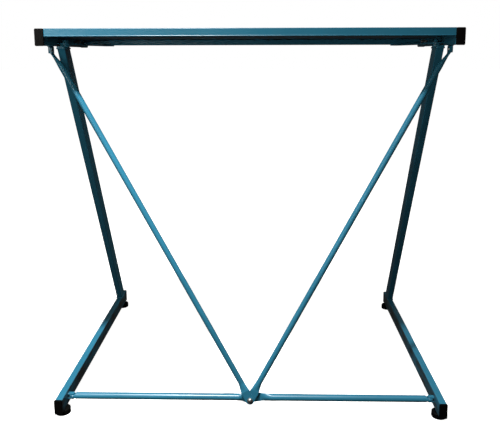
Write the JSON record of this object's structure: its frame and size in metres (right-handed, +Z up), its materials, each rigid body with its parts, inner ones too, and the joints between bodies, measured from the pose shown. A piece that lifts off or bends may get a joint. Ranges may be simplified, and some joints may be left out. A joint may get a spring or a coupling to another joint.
{
  "type": "folding machine stand",
  "caption": "Folding tubular steel stand with a shallow tray top, raking legs on floor rails that swing in flat, and a V-shaped front truss.",
  "frame": {"origin": "on the floor, at the middle of the stand's bounding box", "axes": "+X to the right seen from the front, +Y to the back, +Z up"},
  "size_m": [0.8116, 0.64, 0.783],
  "materials": {
    "enamel": "glossy enamel, lightly worn",
    "tray_enamel": "glossy enamel on pressed sheet",
    "black_plastic": "satin moulded",
    "foot_rubber": "matt",
    "zinc": "bright zinc plate"
  },
  "bodies": {
    "top_frame": {"bar_knuckle_left": "enamel", "bar_knuckle_right": "enamel", "centre_rivet": "zinc", "centre_washer_front": "zinc", "centre_washer_rear": "zinc", "cross_bar_left": "enamel", "cross_bar_right": "enamel", "front_lip": "tray_enamel", "panel_screws": "zinc", "pivot_plate_left": "enamel", "pivot_plate_right": "enamel", "rear_lip": "tray_enamel", "rear_rail": "enamel", "strap_bolts": "zinc", "strap_left": "enamel", "strap_nuts": "zinc", "strap_right": "enamel", "strap_rivets": "zinc", "strut_left": "enamel", "strut_lug_left": "enamel", "strut_lug_right": "enamel", "strut_right": "enamel", "strut_rivets": "zinc", "top_front_cap_left": "black_plastic", "top_front_cap_right": "black_plastic", "top_rear_cap_left": "black_plastic", "top_rear_cap_right": "black_plastic", "top_side_rail_left": "enamel", "top_side_rail_right": "enamel", "tray_panel": "tray_enamel"},
    "gate_left": {"floor_front_cap_left": "black_plastic", "floor_rail_left": "enamel", "floor_rear_cap_left": "black_plastic", "foot_screws_left": "zinc", "front_foot_left": "foot_rubber", "hinge_lower_ear_left": "enamel", "hinge_pin_left": "enamel", "hinge_upper_ear_left": "enamel", "leg_end_plate_left": "enamel", "leg_left": "enamel", "pivot_nut_left": "enamel", "pivot_stud_left": "enamel", "pivot_washer_left": "enamel", "rear_foot_left": "foot_rubber"},
    "gate_right": {"floor_front_cap_right": "black_plastic", "floor_rail_right": "enamel", "floor_rear_cap_right": "black_plastic", "foot_screws_right": "zinc", "front_foot_right": "foot_rubber", "hinge_lower_ear_right": "enamel", "hinge_pin_right": "enamel", "hinge_upper_ear_right": "enamel", "leg_end_plate_right": "enamel", "leg_right": "enamel", "pivot_nut_right": "enamel", "pivot_stud_right": "enamel", "pivot_washer_right": "enamel", "rear_foot_right": "foot_rubber"}
  },
  "joints": [
    {"name": "left_fold", "type": "hinge", "parent": "top_frame", "child": "gate_left", "pos_m": [-0.3743, -0.2544, 0.027], "axis": [-0.0197, -0.0281, -0.9994], "range_deg": [0, 90]},
    {"name": "right_fold", "type": "hinge", "parent": "top_frame", "child": "gate_right", "pos_m": [0.3743, -0.2544, 0.027], "axis": [-0.0197, 0.0281, 0.9994], "range_deg": [0, 83]}
  ]
}
